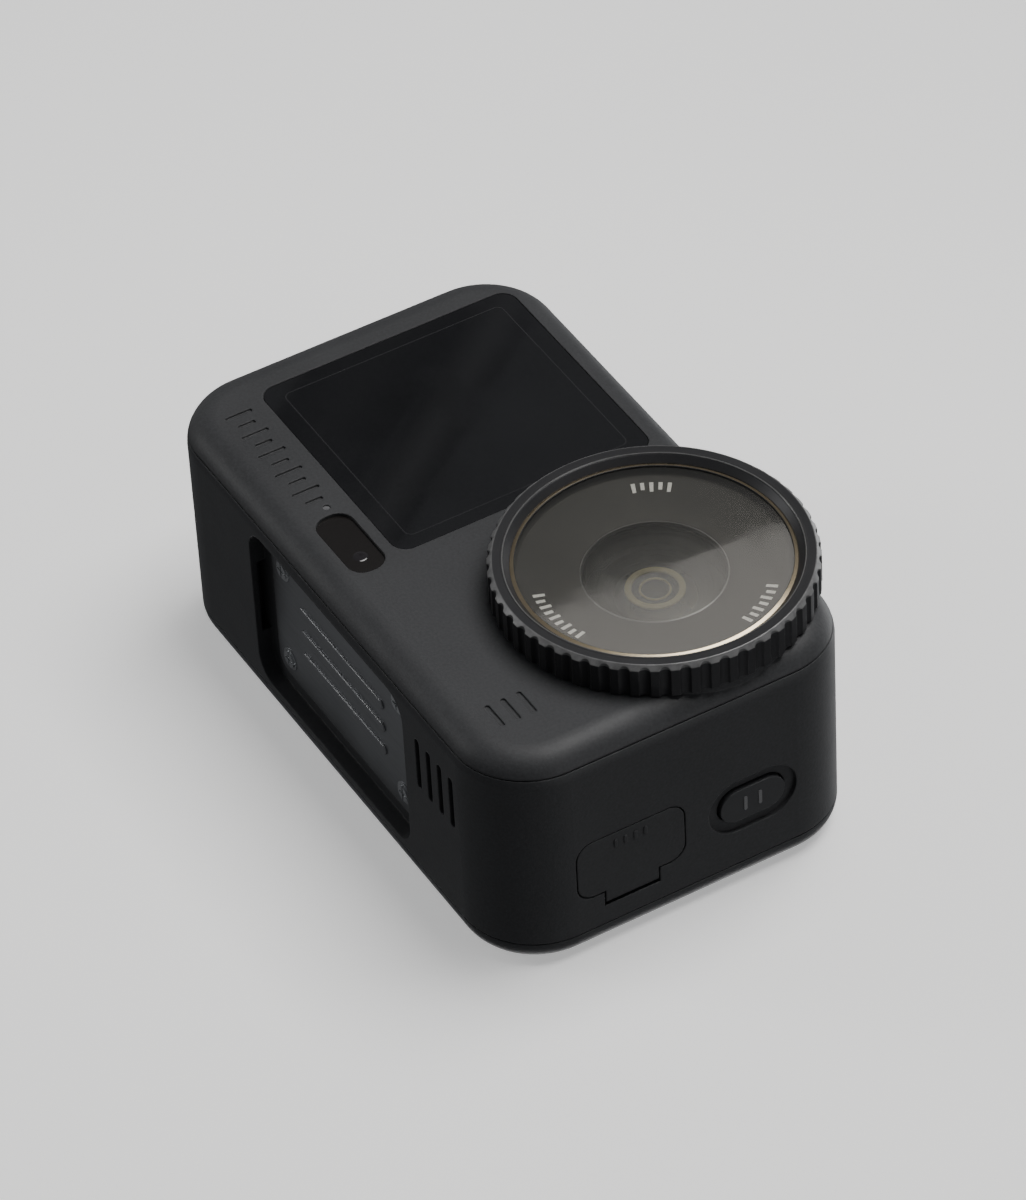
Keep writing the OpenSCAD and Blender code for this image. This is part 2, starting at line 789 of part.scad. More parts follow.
module microphone() {
    color("#a9abae") block([-7.6, -1.4], [13.6, 16.4], [cavity_top - 1.1, cavity_top]);
}

module mount_plate() {
    color("#8c8f92") top_slab(recess_depth, recess_depth + 0.5)
        round_rect(-15, recess_d0 + 1.5, 15, recess_d1 - 1.5, 2);
}

module mount_magnets() {
    color("#c3c5c7") for (x = [-9, 9])
        translate([x, front_y + 14.4, recess_depth + 0.5]) cylinder(r = 3.6, h = 0.8);
}

module iris_blade_1() { iris_blade(0); }
module iris_blade_2() { iris_blade(1); }
module iris_blade_3() { iris_blade(2); }
module iris_blade_4() { iris_blade(3); }
module iris_blade_5() { iris_blade(4); }
module iris_blade_6() { iris_blade(5); }

front_cover();
mid_frame();
rear_cover();
board_screws();
front_screen_glass();
front_display_panel();
sensor_window();
light_sensor();
status_light();
rear_screen_glass();
rear_display_panel();
lens_mount();
lens_barrel();
front_lens();
front_lens_ring();
second_lens();
rear_lens_group();
infrared_filter();
image_sensor();
sensor_board();
iris_housing();
iris_ring();
iris_motor();
iris_blade_1();
iris_blade_2();
iris_blade_3();
iris_blade_4();
iris_blade_5();
iris_blade_6();
lens_cover_ring();
lens_cover_glass();
lens_cover_plate();
lens_cover_retainer();
lens_cover_seal();
main_board();
processor_shield();
heat_spreader();
battery_bay();
battery();
battery_contacts();
memory_card();
memory_card_slot();
battery_door();
battery_door_seal();
battery_door_pin();
battery_door_latch();
connector_socket();
connector_board();
connector_door();
connector_door_seal();
connector_door_pin();
switch_button();
switch_contact();
shutter_button();
shutter_bezel();
shutter_contact();
speaker();
microphone();
mount_plate();
mount_magnets();
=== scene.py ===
"""Looks of the action camera: materials, fine detail pieces, stage, lights and camera."""

import json
import math

import bmesh
import bpy
from mathutils import Matrix, Vector


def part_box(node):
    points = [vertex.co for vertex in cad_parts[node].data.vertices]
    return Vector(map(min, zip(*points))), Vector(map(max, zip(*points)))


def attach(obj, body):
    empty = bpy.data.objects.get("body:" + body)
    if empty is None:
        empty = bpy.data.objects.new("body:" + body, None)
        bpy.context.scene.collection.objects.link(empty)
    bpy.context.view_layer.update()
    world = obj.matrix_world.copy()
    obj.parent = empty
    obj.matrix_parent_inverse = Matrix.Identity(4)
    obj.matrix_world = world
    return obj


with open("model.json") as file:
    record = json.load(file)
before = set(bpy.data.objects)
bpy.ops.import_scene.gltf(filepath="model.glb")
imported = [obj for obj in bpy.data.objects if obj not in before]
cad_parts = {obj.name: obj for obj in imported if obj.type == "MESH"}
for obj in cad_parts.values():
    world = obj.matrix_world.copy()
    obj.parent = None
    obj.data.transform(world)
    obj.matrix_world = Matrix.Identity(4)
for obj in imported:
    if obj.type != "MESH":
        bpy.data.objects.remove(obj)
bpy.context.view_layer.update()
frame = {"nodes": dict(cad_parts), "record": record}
MM = 0.001

# ---------- places taken from the frame ----------


def lo(node):
    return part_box(node)[0] / MM


def hi(node):
    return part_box(node)[1] / MM


def middle(node):
    return (lo(node) + hi(node)) / 2


FRONT_Y = lo("front_cover").y
REAR_Y = hi("rear_cover").y
TOP_Z = hi("rear_cover").z
SIDE_X = hi("mid_frame").x
LENS = middle("lens_cover_glass")
RING_Y = lo("lens_cover_ring").y
GLASS_Y = lo("lens_cover_glass").y
PLATE_Y = lo("lens_cover_plate").y
GLASS_EDGE_R = 15.09
PLATE_FLAT_R, PLATE_HOLE_R, PLATE_THICKNESS = 14.4, 7.7, 0.28
PLATE_DISH = hi("lens_cover_plate").y - PLATE_Y - PLATE_THICKNESS
RING_R = (hi("lens_cover_ring").x - lo("lens_cover_ring").x) / 2
SCREEN_Y = lo("front_screen_glass").y

# ---------- materials ----------


def new_material(name):
    mat = bpy.data.materials.new(name)
    mat.use_nodes = True
    return mat, mat.node_tree.nodes, mat.node_tree.links


def add(nodes, kind, **values):
    """New shader node whose sockets or settings take the values."""
    node = nodes.new(kind)
    for key, value in values.items():
        if key in node.inputs:
            node.inputs[key].default_value = value
        else:
            setattr(node, key, value)
    return node


def noise(nodes, links, coords, scale, detail=3.0, rough=0.55, stretch=None):
    """Noise over the object's own coordinates, whose unit is the metre; scale is per metre."""
    texture = add(nodes, "ShaderNodeTexNoise", Scale=scale, Detail=detail, Roughness=rough)
    source = coords.outputs["Object"]
    if stretch:
        mapping = add(nodes, "ShaderNodeMapping", Scale=stretch)
        links.new(source, mapping.inputs["Vector"])
        source = mapping.outputs["Vector"]
    links.new(source, texture.inputs["Vector"])
    return texture.outputs["Fac"]


def remap(nodes, links, value, from_low, from_high, to_low, to_high):
    """Maps a value from one range to another and keeps it inside the second."""
    node = add(nodes, "ShaderNodeMapRange", clamp=True)
    for i, number in enumerate((from_low, from_high, to_low, to_high)):
        node.inputs[i + 1].default_value = number
    links.new(value, node.inputs["Value"])
    return node.outputs["Result"]


def multiply(nodes, links, first, second):
    node = add(nodes, "ShaderNodeMath", operation="MULTIPLY")
    links.new(first, node.inputs[0])
    links.new(second, node.inputs[1])
    return node.outputs[0]


def mix_colour(nodes, links, factor, first, second):
    """Mix of two colours, each a socket or a colour, by a socket or a number."""
    node = add(nodes, "ShaderNodeMix", data_type="RGBA")
    for socket, value in ((node.inputs[0], factor), (node.inputs[6], first), (node.inputs[7], second)):
        if isinstance(value, bpy.types.NodeSocket):
            links.new(value, socket)
        elif socket.type == "RGBA":
            socket.default_value = (*value, 1)
        else:
            socket.default_value = value
    return node.outputs[2]


def tone(colour, factor):
    return tuple(min(1.0, c * factor) for c in colour)


def wear_mask(nodes, links, radius, coords):
    """1 on outer edges, broken up by noise, from how far a rounded normal leans off the true one."""
    bevel = add(nodes, "ShaderNodeBevel", samples=4, Radius=radius)
    geometry = add(nodes, "ShaderNodeNewGeometry")
    dot = add(nodes, "ShaderNodeVectorMath", operation="DOT_PRODUCT")
    links.new(bevel.outputs["Normal"], dot.inputs[0])
    links.new(geometry.outputs["Normal"], dot.inputs[1])
    edge = remap(nodes, links, dot.outputs["Value"], 0.985, 0.80, 0, 1)
    patches = remap(nodes, links, noise(nodes, links, coords, 420, 5), 0.42, 0.66, 0, 1)
    return multiply(nodes, links, edge, patches), bevel.outputs["Normal"]


def finish_material(
    name, colour, rough=(0.45, 0.6), metallic=0.0, grain=7000.0, grain_depth=0.012, variation=0.12,
    stretch=None, worn=None, wear_radius=0.25, ior=1.5, coat=0.0, smudge=0.0, sheen=0.0, specular=0.5,
    grain_glint=0.175,
):
    """Opaque moulded, painted or machined surface with grain, painted glints on the grain's tops, blotches,
    smudges and worn edges.

    grain is per metre, grain_depth and wear_radius are in millimetres, and grain_glint is how much brighter
    the tops of the grain are painted, a painted glint."""
    mat, nodes, links = new_material(name)
    shader = nodes["Principled BSDF"]
    shader.inputs["IOR"].default_value = ior
    shader.inputs["Coat Weight"].default_value = coat
    shader.inputs["Coat Roughness"].default_value = 0.12
    shader.inputs["Sheen Weight"].default_value = sheen
    shader.inputs["Specular IOR Level"].default_value = specular
    coords = add(nodes, "ShaderNodeTexCoord")
    fine = noise(nodes, links, coords, grain, 4, 0.6, stretch)
    blotch = noise(nodes, links, coords, 60, 4)
    mottle = remap(nodes, links, blotch, 0.3, 0.7, 0, 1)
    low, high = tone(colour, 1 - variation), tone(colour, 1 + variation)
    base = mix_colour(nodes, links, mottle, low, high)
    # Painted glint: the raised tops of the grain are painted brighter than the rest.
    speck = remap(nodes, links, fine, 0.3, 0.7, 0, 1)
    glint_colour = mix_colour(nodes, links, 0.5, base, tone(colour, 1 + 2 * grain_glint))
    base = mix_colour(nodes, links, speck, base, glint_colour)
    roughness = remap(nodes, links, blotch, 0.3, 0.7, rough[0], rough[1])
    if smudge:
        touch = remap(nodes, links, noise(nodes, links, coords, 95, 6, 0.7), 0.5, 0.66, 0, smudge)
        total = add(nodes, "ShaderNodeMath", operation="ADD")
        links.new(roughness, total.inputs[0])
        links.new(touch, total.inputs[1])
        roughness = total.outputs[0]
    bump = add(nodes, "ShaderNodeBump", Strength=0.6, Distance=grain_depth * MM)
    if worn:
        mask, rounded = wear_mask(nodes, links, wear_radius * MM, coords)
        base = mix_colour(nodes, links, mask, base, worn)
        links.new(rounded, bump.inputs["Normal"])
    links.new(fine, bump.inputs["Height"])
    links.new(base, shader.inputs["Base Color"])
    links.new(roughness, shader.inputs["Roughness"])
    links.new(bump.outputs["Normal"], shader.inputs["Normal"])
    shader.inputs["Metallic"].default_value = metallic
    return mat


def clear_glass(name, tint, haze=0.0, reflect=1.0, rough=0.02, coating=0.0, softness=0.3):
    """Thin coated glass: passes light straight through, and its outer face mirrors by angle.

    haze is its share of dust, and coating the share of a soft reflection as rough as softness."""
    mat, nodes, links = new_material(name)
    output = nodes["Material Output"]
    nodes.remove(nodes["Principled BSDF"])
    coords = add(nodes, "ShaderNodeTexCoord")
    through = add(nodes, "ShaderNodeBsdfTransparent", Color=(*tint, 1))
    mirror = add(nodes, "ShaderNodeBsdfGlossy", Color=(reflect, reflect, reflect * 0.98, 1))
    fresnel = add(nodes, "ShaderNodeFresnel", IOR=1.62)
    side = add(nodes, "ShaderNodeNewGeometry")
    outside = remap(nodes, links, side.outputs["Backfacing"], 0, 1, 1, 0)
    share = multiply(nodes, links, fresnel.outputs[0], outside)
    smear = noise(nodes, links, coords, 130, 6, 0.7)
    links.new(remap(nodes, links, smear, 0.45, 0.7, rough, rough + 0.10), mirror.inputs["Roughness"])
    body = add(nodes, "ShaderNodeMixShader")
    links.new(share, body.inputs[0])
    links.new(through.outputs[0], body.inputs[1])
    links.new(mirror.outputs[0], body.inputs[2])
    film = add(nodes, "ShaderNodeBsdfGlossy", Color=(1.0, 0.97, 0.92, 1), Roughness=softness)
    filmed = add(nodes, "ShaderNodeMixShader")
    links.new(remap(nodes, links, side.outputs["Backfacing"], 0, 1, coating, 0), filmed.inputs[0])
    links.new(body.outputs[0], filmed.inputs[1])
    links.new(film.outputs[0], filmed.inputs[2])
    dust = add(nodes, "ShaderNodeBsdfDiffuse", Color=(0.5, 0.5, 0.48, 1))
    specks = add(nodes, "ShaderNodeTexVoronoi", Scale=900, feature="F1")
    links.new(coords.outputs["Object"], specks.inputs["Vector"])
    few = remap(nodes, links, noise(nodes, links, coords, 800, 2), 0.60, 0.64, 0, 1)
    near = remap(nodes, links, specks.outputs["Distance"], 0.12, 0.05, 0, 1)
    spots = multiply(nodes, links, near, few)
    veil = add(nodes, "ShaderNodeMixShader")
    links.new(remap(nodes, links, spots, 0, 1, haze, haze * 5), veil.inputs[0])
    links.new(filmed.outputs[0], veil.inputs[1])
    links.new(dust.outputs[0], veil.inputs[2])
    links.new(veil.outputs[0], output.inputs["Surface"])
    return mat


def dark_glass(name, colour, smudge=0.08, rough=0.03, coat=0.4, variation=0.18):
    """Opaque black cover glass with finger smears."""
    return finish_material(
        name, colour, (rough, rough + 0.03), grain=2500, grain_depth=0.0004, variation=variation,
        coat=coat, smudge=smudge, ior=1.52,
    )


def ring_material(name, colour):
    """Black anodised ring whose fluted rim edge is painted lighter grey in patches, a painted highlight."""
    mat = finish_material(name, colour, (0.34, 0.46), 0.35, 5200, 0.006, worn=(0.12, 0.12, 0.124),
                          wear_radius=0.16)
    nodes, links = mat.node_tree.nodes, mat.node_tree.links
    shader = nodes["Principled BSDF"]
    coords = add(nodes, "ShaderNodeTexCoord")
    split = add(nodes, "ShaderNodeSeparateXYZ")
    links.new(coords.outputs["Object"], split.inputs[0])
    inside, outside = 0.62, 0.5  # mm from the rim's edge: no painted highlight, full painted highlight
    rim = remap(nodes, links, split.outputs["Y"], (RING_Y + inside) * MM, (RING_Y + outside) * MM, 0, 1)
    radial = add(nodes, "ShaderNodeVectorMath", operation="DISTANCE")
    flat = add(nodes, "ShaderNodeCombineXYZ")
    links.new(split.outputs["X"], flat.inputs[0])
    links.new(split.outputs["Z"], flat.inputs[2])
    links.new(flat.outputs[0], radial.inputs[0])
    radial.inputs[1].default_value = (LENS.x * MM, 0, LENS.z * MM)
    distance = radial.outputs["Value"]
    outer = remap(nodes, links, distance, (RING_R - inside) * MM, (RING_R - outside) * MM, 0, 1)
    both = multiply(nodes, links, rim, outer)
    old = shader.inputs["Base Color"].links[0].from_socket
    # Painted highlight: the rim's outer edge is mixed towards a lighter grey in broken patches.
    patches = remap(nodes, links, noise(nodes, links, coords, 900, 4), 0.3, 0.6, 0.55, 1)
    bright = mix_colour(nodes, links, patches, old, (0.19, 0.19, 0.19))
    links.new(mix_colour(nodes, links, both, old, bright), shader.inputs["Base Color"])
    return mat


def circuit_material(name, colour):
    """Solder mask with fine copper tracks and pads."""
    mat = finish_material(name, colour, (0.3, 0.42), grain=2600, variation=0.1)
    nodes, links = mat.node_tree.nodes, mat.node_tree.links
    shader = nodes["Principled BSDF"]
    coords = add(nodes, "ShaderNodeTexCoord")
    cells = add(nodes, "ShaderNodeTexVoronoi", Scale=420, feature="F1", distance="MANHATTAN")
    links.new(coords.outputs["Object"], cells.inputs["Vector"])
    pads = remap(nodes, links, cells.outputs["Distance"], 0.16, 0.12, 0, 1)
    old = shader.inputs["Base Color"].links[0].from_socket
    links.new(mix_colour(nodes, links, pads, old, (0.55, 0.42, 0.2)), shader.inputs["Base Color"])
    return mat


def print_material(name, colour):
    """Printed ink with slightly uneven cover."""
    return finish_material(name, colour, (0.5, 0.65), grain=5200, grain_depth=0.004, variation=0.16)


SHELL = (0.0299, 0.0307, 0.0327)
SHELL_GRAIN = {"grain": 3000, "grain_depth": 0.034, "grain_glint": 0.40}
WORN = (0.066, 0.067, 0.069)
BLACK = (0.012, 0.012, 0.013)

MATERIALS = {
    "shell_plastic": finish_material("shell_plastic", SHELL, (0.46, 0.58), worn=WORN, sheen=0.05,
                                     smudge=0.06, specular=0.38, **SHELL_GRAIN),
    "door_plastic": finish_material("door_plastic", tone(SHELL, 0.92), (0.48, 0.6), worn=WORN,
                                    smudge=0.06, **SHELL_GRAIN),
    "latch_plastic": finish_material("latch_plastic", (0.030, 0.031, 0.033), (0.5, 0.62), worn=WORN,
                                     wear_radius=0.12),
    "button_plastic": finish_material("button_plastic", tone(SHELL, 1.20), (0.36, 0.48), worn=WORN,
                                      wear_radius=0.2, smudge=0.08),
    "accent_plastic": finish_material("accent_plastic", (0.36, 0.022, 0.02), (0.3, 0.42),
                                      worn=(0.5, 0.12, 0.1), wear_radius=0.12),
    "front_glass": dark_glass("front_glass", (0.0105, 0.0108, 0.012)),
    "rear_glass": dark_glass("rear_glass", (0.0105, 0.0108, 0.012)),
    "sensor_glass": dark_glass("sensor_glass", (0.0125, 0.011, 0.0105), 0.12, 0.08),
    "display": dark_glass("display", (0.02, 0.02, 0.024), 0.0, 0.2),
    "light_pipe": finish_material("light_pipe", (0.12, 0.12, 0.125), (0.2, 0.3), coat=0.3),
    "lens_black": finish_material("lens_black", (0.016, 0.016, 0.017), (0.42, 0.55), 0.2, 4200, 0.006,
                                  worn=(0.07, 0.07, 0.07), wear_radius=0.12),
    "ring_black": ring_material("ring_black", (0.026, 0.026, 0.028)),
    "plate_grey": finish_material("plate_grey", (0.042, 0.0402, 0.0382), (0.27, 0.33), 0.5, 5200, 0.002,
                                  variation=0.06),
    "pale_gold": finish_material("pale_gold", (0.46, 0.385, 0.265), (0.22, 0.34), 0.9, 3600, 0.003,
                                 variation=0.08),
    "lens_glass": clear_glass("lens_glass", (0.92, 0.94, 0.92), 0.003, reflect=0.8, coating=0.03),
    "cover_glass": clear_glass("cover_glass", (0.95, 0.95, 0.93), 0.012, coating=0.05, softness=0.13),
    "filter_glass": clear_glass("filter_glass", (0.55, 0.75, 0.78), reflect=0.6),
    "blade_black": finish_material("blade_black", (0.02, 0.02, 0.021), (0.35, 0.5), 0.4, 3000, 0.002),
    "black_rubber": finish_material("black_rubber", BLACK, (0.65, 0.8), grain=3800),
    "orange_rubber": finish_material("orange_rubber", (0.50, 0.13, 0.03), (0.5, 0.7), grain=3800),
    "chip": finish_material("chip", (0.03, 0.025, 0.04), (0.25, 0.4), grain=2600, coat=0.3),
    "circuit_board": circuit_material("circuit_board", (0.015, 0.075, 0.04)),
    "steel": finish_material("steel", (0.50, 0.51, 0.52), (0.25, 0.4), 0.95, 3800, 0.003,
                             stretch=(1, 1, 12), variation=0.08),
    "plate_steel": finish_material("plate_steel", (0.27, 0.275, 0.285), (0.34, 0.5), 0.9, 3800, 0.004,
                                   stretch=(0.06, 1, 1), worn=(0.4, 0.4, 0.4)),
    "magnet": finish_material("magnet", (0.6, 0.6, 0.62), (0.12, 0.25), 1.0, 2600, 0.002),
    "copper": finish_material("copper", (0.6, 0.3, 0.17), (0.3, 0.45), 0.95, 2600, 0.003,
                              stretch=(0.1, 1, 1)),
    "contact_gold": finish_material("contact_gold", (0.75, 0.55, 0.22), (0.18, 0.3), 1.0, 2600, 0.002),
    "bay_plastic": finish_material("bay_plastic", (0.028, 0.029, 0.031), (0.5, 0.65)),
    "battery_wrap": finish_material("battery_wrap", (0.060, 0.062, 0.067), (0.36, 0.5), 0.2, 5200,
                                    worn=WORN),
    "card_plastic": finish_material("card_plastic", (0.035, 0.036, 0.040), (0.4, 0.55), worn=WORN,
                                    wear_radius=0.1),
    "print_white": print_material("print_white", (0.62, 0.61, 0.59)),
    "print_grey": print_material("print_grey", (0.17, 0.17, 0.175)),
    # seam_dark also colours the near-black rings of painted shade at the lens's glass edge and plate hole.
    "seam_dark": finish_material("seam_dark", (0.008, 0.008, 0.009), (0.6, 0.75)),
    "mesh_metal": finish_material("mesh_metal", (0.05, 0.05, 0.052), (0.3, 0.5), 0.8, 2600, 0.003),
    "rim_line": finish_material("rim_line", (0.20, 0.20, 0.20), (0.25, 0.35), 0.6, 3600, 0.003),
    "aperture_rim": finish_material("aperture_rim", (0.85, 0.66, 0.38), (0.4, 0.5), 0.1, 3600, 0.003),
    "screen_line": finish_material("screen_line", (0.022, 0.022, 0.024), (0.22, 0.3), coat=0.4),
    "sensor_eye": finish_material("sensor_eye", (0.016, 0.014, 0.016), (0.08, 0.14), coat=0.6),
}


def dress_nodes():
    """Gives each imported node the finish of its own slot."""
    slots = {p["node"]: p["material_slot"] for p in frame["record"]["subparts"]}
    for name, obj in frame["nodes"].items():
        obj.data.materials.clear()
        obj.data.materials.append(MATERIALS[slots[name]])


# ---------- mesh helpers, all in millimetres ----------

SHARP_ANGLE = 38


def link_object(name, data):
    obj = bpy.data.objects.new(name, data)
    bpy.context.scene.collection.objects.link(obj)
    return obj


def to_mesh(name, bm, smooth):
    """Mesh in metres from bm, which is in millimetres; smooth keeps edges over SHARP_ANGLE sharp."""
    bmesh.ops.remove_doubles(bm, verts=bm.verts, dist=0.0005)
    bmesh.ops.recalc_face_normals(bm, faces=bm.faces)
    bmesh.ops.scale(bm, vec=(MM, MM, MM), verts=bm.verts)
    mesh = bpy.data.meshes.new(name)
    bm.to_mesh(mesh)
    bm.free()
    if smooth:
        mesh.polygons.foreach_set("use_smooth", [True] * len(mesh.polygons))
        mesh.set_sharp_from_angle(angle=math.radians(SHARP_ANGLE))
    return mesh


def add_piece(name, bm, body, material, smooth=True):
    """Makes bm a piece that rides on a CAD body."""
    mesh = to_mesh(name, bm, smooth)
    obj = link_object(name, mesh)
    mesh.materials.append(MATERIALS[material])
    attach(obj, body)


def bridge(bm, first, second):
    """Faces between two closed rings with the same number of points."""
    n = len(first)
    for k in range(n):
        bm.faces.new([first[k], first[(k + 1) % n], second[(k + 1) % n], second[k]])


def lathe(bm, profile, centre, axis="y", steps=128):
    """Turns a closed profile of (radius, height along the axis) about a line through centre."""
    rings = []
    for i in range(steps):
        a = math.radians(360.0 * i / steps)
        ring = []
        for r, h in profile:
            u, v = r * math.cos(a), r * math.sin(a)
            offset = (u, h, v) if axis == "y" else (u, v, h)
            ring.append(bm.verts.new(Vector(centre) + Vector(offset)))
        rings.append(ring)
    for i in range(steps):
        bridge(bm, rings[i], rings[(i + 1) % steps])


def rounded_outline(w, h, r, segments=6):
    """Points of a rounded rectangle about the origin, anticlockwise."""
    points = []
    for cx, cy, a0 in ((1, 1, 0), (-1, 1, 90), (-1, -1, 180), (1, -1, 270)):
        for i in range(segments + 1):
            a = math.radians(a0 + 90 * i / segments)
            points.append((cx * (w / 2 - r) + r * math.cos(a), cy * (h / 2 - r) + r * math.sin(a)))
    return points


def place(face, u, v, out):
    """A point on one face of the camera: u and v in the face, out is the distance along its normal."""
    return {
        "front": Vector((u, FRONT_Y - out, v)),
        "rear": Vector((u, REAR_Y + out, v)),
        "top": Vector((u, v, TOP_Z + out)),
        "bottom": Vector((u, v, -out)),
        "right": Vector((SIDE_X + out, u, v)),
        "left": Vector((-SIDE_X - out, u, v)),
    }[face]


def face_ring(bm, face, centre, outline, out):
    """Ring of points over a face of the camera, in the shape of outline about centre."""
    return [bm.verts.new(place(face, centre[0] + u, centre[1] + v, out)) for u, v in outline]


def pad(bm, face, centre, outline, base, height, chamfer=0.0):
    """Low closed pad on a face, its upper edge chamfered: base and height are measured along its normal."""
    levels = [(outline, base), (outline, height - chamfer)]
    if chamfer:
        size = max(max(abs(u), abs(v)) for u, v in outline)
        shrink = 1 - chamfer / size
        levels.append(([(u * shrink, v * shrink) for u, v in outline], height))
    rings = [face_ring(bm, face, centre, points, out) for points, out in levels]
    for first, second in zip(rings, rings[1:]):
        bridge(bm, first, second)
    bm.faces.new(rings[0])
    bm.faces.new(rings[-1])


def frame_pad(bm, face, centre, w, h, r, line, base, height):
    """Closed rounded rectangular line, such as a printed border, standing on a face."""
    outer = rounded_outline(w, h, r)
    inner = rounded_outline(w - 2 * line, h - 2 * line, r - line)
    levels = ((outer, base), (outer, height), (inner, height), (inner, base))
    rings = [face_ring(bm, face, centre, points, out) for points, out in levels]
    for i in range(4):
        bridge(bm, rings[i], rings[(i + 1) % 4])


# ---------- lens pieces ----------


def plate_level(r):
    """Y of the dished plate's front at a radius."""
    return PLATE_Y + PLATE_DISH * (PLATE_FLAT_R - r) / (PLATE_FLAT_R - PLATE_HOLE_R)


def lens_point(r, degrees, out):
    """Point at a radius and angle on the plate, out in front of it."""
    a = math.radians(degrees)
    return Vector((LENS.x + r * math.cos(a), plate_level(r) - out, LENS.z + r * math.sin(a)))


def plate_ticks():
    """Three groups of short ticks round the plate, in place of any lettering."""
    bm = bmesh.new()
    groups = ((150, 5), (274, 9), (31, 7))  # middle angle and number of ticks
    pitch, inner_r, outer_r, width = 4.3, 12.3, 13.3, 0.40
    sunk, proud = -0.03, 0.025
    half = math.degrees(width / 2 / inner_r)
    for centre, count in groups:
        for i in range(count):
            angle = centre + (i - (count - 1) / 2) * pitch
            start_r = inner_r - (0.0 if i % 2 else 0.28)
            before, after = angle - half, angle + half
            corners = [(start_r, before), (outer_r, before), (outer_r, after), (start_r, after)]
            low = [bm.verts.new(lens_point(r, a, sunk)) for r, a in corners]
            top = [bm.verts.new(lens_point(r, a, proud)) for r, a in corners]
            bridge(bm, low, top)
            bm.faces.new(low)
            bm.faces.new(top)
    add_piece("plate_ticks", bm, "lens_cover", "print_white", smooth=False)


def ring_on_lens(name, body, material, profile):
    """Turned piece on the lens axis: profile points are (radius, Y)."""
    bm = bmesh.new()
    lathe(bm, profile, (LENS.x, 0, LENS.z))
    add_piece(name, bm, body, material)


def lens_rings():
    """Bevelled edge of the glass, lines of the cover ring, rim of the plate's hole, aperture rims, and
    near-black rings of painted shade inside the glass's edge and the plate's hole.
    """
    y = GLASS_Y
    edge_r, crest_r, painted_shade_r = GLASS_EDGE_R + 0.01, GLASS_EDGE_R - 0.40, GLASS_EDGE_R - 0.46
    back = y + 0.02
    ring_on_lens("glass_bevel_edge", "lens_cover", "pale_gold", [
        (crest_r, back), (crest_r, y - 0.17), (edge_r, y - 0.01), (edge_r, back)])
    # Near-black ring on the inner wall of the glass's edge: painted shade.
    ring_on_lens("glass_edge_painted_shade", "lens_cover", "seam_dark", [
        (painted_shade_r, back), (painted_shade_r, y - 0.15), (crest_r, y - 0.175), (crest_r, back)])
    level = plate_level(PLATE_HOLE_R)
    painted_shade_r, rim_r, rim_end = PLATE_HOLE_R - 0.04, PLATE_HOLE_R + 0.02, PLATE_HOLE_R + 0.20
    ring_on_lens("plate_hole_rim", "lens_cover", "rim_line", [
        (rim_r, level + 0.1), (rim_r, level - 0.11), (rim_end, level + 0.01), (rim_end, level + 0.1)])
    # Near-black ring on the wall of the plate's hole: painted shade.
    ring_on_lens("plate_hole_painted_shade", "lens_cover", "seam_dark", [
        (painted_shade_r, level + 0.25), (painted_shade_r, level - 0.09), (rim_r, level - 0.115), (rim_r, level + 0.25)])
    behind = hi("front_lens").y
    ring_on_lens("aperture_rim", "camera", "aperture_rim", [
        (2.50, behind + 0.16), (2.55, behind + 0.02), (3.20, behind + 0.02), (3.25, behind + 0.16)])
    ring_on_lens("aperture_inner_rim", "camera", "aperture_rim", [
        (1.50, behind + 0.30), (1.53, behind + 0.20), (1.72, behind + 0.20), (1.75, behind + 0.30)])
    groove_r, sunk, crest = 16.05, RING_Y + 0.02, RING_Y - 0.012
    ring_on_lens("ring_inner_groove", "lens_cover", "seam_dark", [
        (groove_r - 0.12, sunk), (groove_r - 0.09, crest), (groove_r + 0.09, crest),
        (groove_r + 0.12, sunk)])
    ring_on_lens("ring_bright_lip", "lens_cover", "rim_line", [
        (15.80, RING_Y + 0.05), (15.84, RING_Y - 0.03), (15.92, RING_Y - 0.03), (15.95, RING_Y + 0.02)])


def lens_baffles():
    """Dark stepped rings inside the barrel, seen through the front element."""
    outer_r, thickness = 6.74, 0.16
    for i in range(4):
        inner_r = 6.1 - i * 0.55
        front = hi("front_lens").y + 0.05 + i * 0.34
        back = front + thickness
        ring_on_lens(f"barrel_baffle_{i + 1}", "camera", "lens_black", [
            (outer_r, front), (inner_r, front), (inner_r + 0.12, back), (outer_r, back)])


# ---------- front pieces ----------


def screen_details():
    """Faint lines round the lit areas of both screens."""
    line, proud = 0.12, 0.012
    bm = bmesh.new()
    centre = middle("front_screen_glass")
    glass_top = FRONT_Y - SCREEN_Y
    frame_pad(bm, "front", (centre.x, centre.z), 27.4, 27.4, 0.9, line, -0.06, glass_top + proud)
    add_piece("front_active_area_line", bm, "camera", "screen_line")
    bm = bmesh.new()
    centre = middle("rear_screen_glass")
    glass_top = hi("rear_screen_glass").y - REAR_Y
    frame_pad(bm, "rear", (centre.x, centre.z), 58.6, 34.4, 1.6, line, glass_top - 0.03, glass_top + proud)
    add_piece("rear_active_area_line", bm, "camera", "screen_line")


def sensor_details():
    """Low lens of the light sensor, on its window."""
    centre = middle("sensor_window")
    window = lo("sensor_window").y
    profile = [(0.02, -0.06), (0.5, -0.05), (0.78, -0.015), (0.85, 0.03), (0.02, 0.03)]
    bm = bmesh.new()
    lathe(bm, profile, (centre.x + 2.1, window, centre.z), steps=40)
    add_piece("sensor_eye", bm, "camera", "sensor_eye")


# ---------- sides, top and bottom ----------


